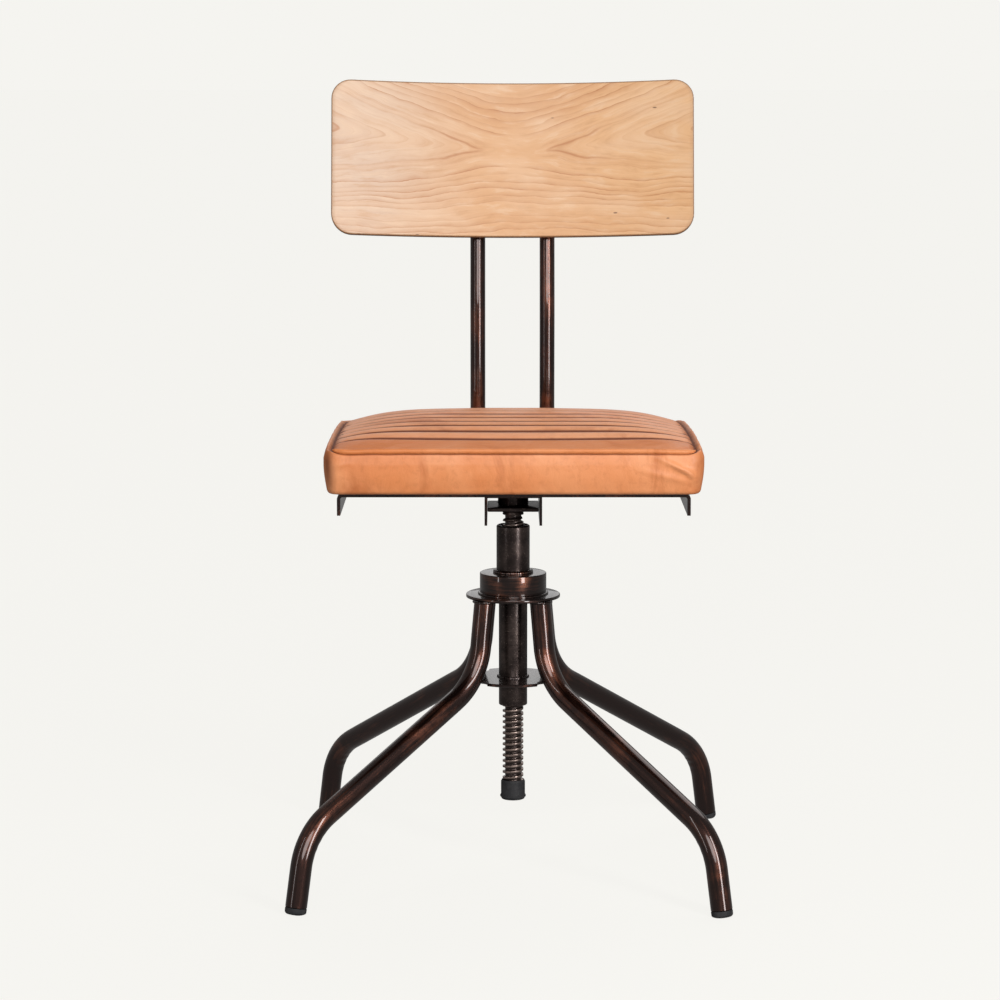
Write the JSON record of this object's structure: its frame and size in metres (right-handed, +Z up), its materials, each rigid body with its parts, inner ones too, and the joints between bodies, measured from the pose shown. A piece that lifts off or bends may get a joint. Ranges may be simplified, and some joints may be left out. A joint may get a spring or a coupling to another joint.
{
  "type": "swivel office chair",
  "caption": "Swivel chair on a bent-tube four-leg base, with a screw-lift leather seat and a bent plywood back on two tubular uprights.",
  "frame": {"origin": "on the floor, under the middle of the bounding box; the swivel axis stands 16.6 mm in front of it", "axes": "+Z up, the chair faces -Y, +X is to the right seen from the front"},
  "size_m": [0.4598, 0.4928, 0.826],
  "materials": {
    "lacquered_tube": "glossy dark bronze lacquer with copper-red burnishing",
    "lacquered_steel": "glossy dark bronze lacquer on sheet and turned steel",
    "dark_steel": "satin dark grey-brown, oiled steel",
    "rubber": "matt dark grey",
    "bronze": "machined bearing bronze",
    "felt": "oiled dark felt",
    "screw_steel": "plain steel",
    "board_plywood": "raw plywood",
    "foam": "open cell foam",
    "leather": "tan leather, semi-gloss, channelled top",
    "back_plywood": "clear-lacquered blond veneer with cathedral grain"
  },
  "bodies": {
    "base": {"leg_front_left": "lacquered_tube", "leg_front_right": "lacquered_tube", "leg_rear_right": "lacquered_tube", "leg_rear_left": "lacquered_tube", "foot_cap_front_left": "rubber", "foot_cap_front_right": "rubber", "foot_cap_rear_right": "rubber", "foot_cap_rear_left": "rubber", "upper_disc": "lacquered_steel", "lower_disc": "lacquered_steel", "collar": "lacquered_steel", "column_tube": "dark_steel", "threaded_sleeve": "dark_steel", "lift_nut": "bronze"},
    "wiper": {"wiper_ring": "felt"},
    "seat": {"upright_left": "lacquered_tube", "upright_right": "lacquered_tube", "seat_bracket": "lacquered_steel", "seat_pan": "lacquered_steel", "spindle": "dark_steel", "thrust_plate": "dark_steel", "spindle_end_cap": "rubber", "upright_plug_top_left": "rubber", "upright_plug_top_right": "rubber", "upright_plug_front_left": "rubber", "upright_plug_front_right": "rubber", "board_screw_1": "screw_steel", "board_screw_2": "screw_steel", "board_screw_3": "screw_steel", "board_screw_4": "screw_steel", "back_screw_left_1": "screw_steel", "back_screw_left_2": "screw_steel", "back_screw_right_1": "screw_steel", "back_screw_right_2": "screw_steel", "seat_board": "board_plywood", "seat_foam": "foam", "seat_cover": "leather", "backrest_panel": "back_plywood"}
  },
  "joints": [
    {"name": "seat_turn", "type": "hinge", "parent": "base", "child": "wiper", "pos_m": [0, -0.01656, 0.3616], "axis": [0, 0, 1], "range_deg": [-720, 4680]},
    {"name": "seat_lift", "type": "slide", "parent": "wiper", "child": "seat", "axis": [0, 0, 1], "range_m": [-0.0121, 0.0781]}
  ],
  "couplings": [
    {"joint": "seat_lift", "follows": "seat_turn", "m_per_rad": 0.00095493}
  ]
}
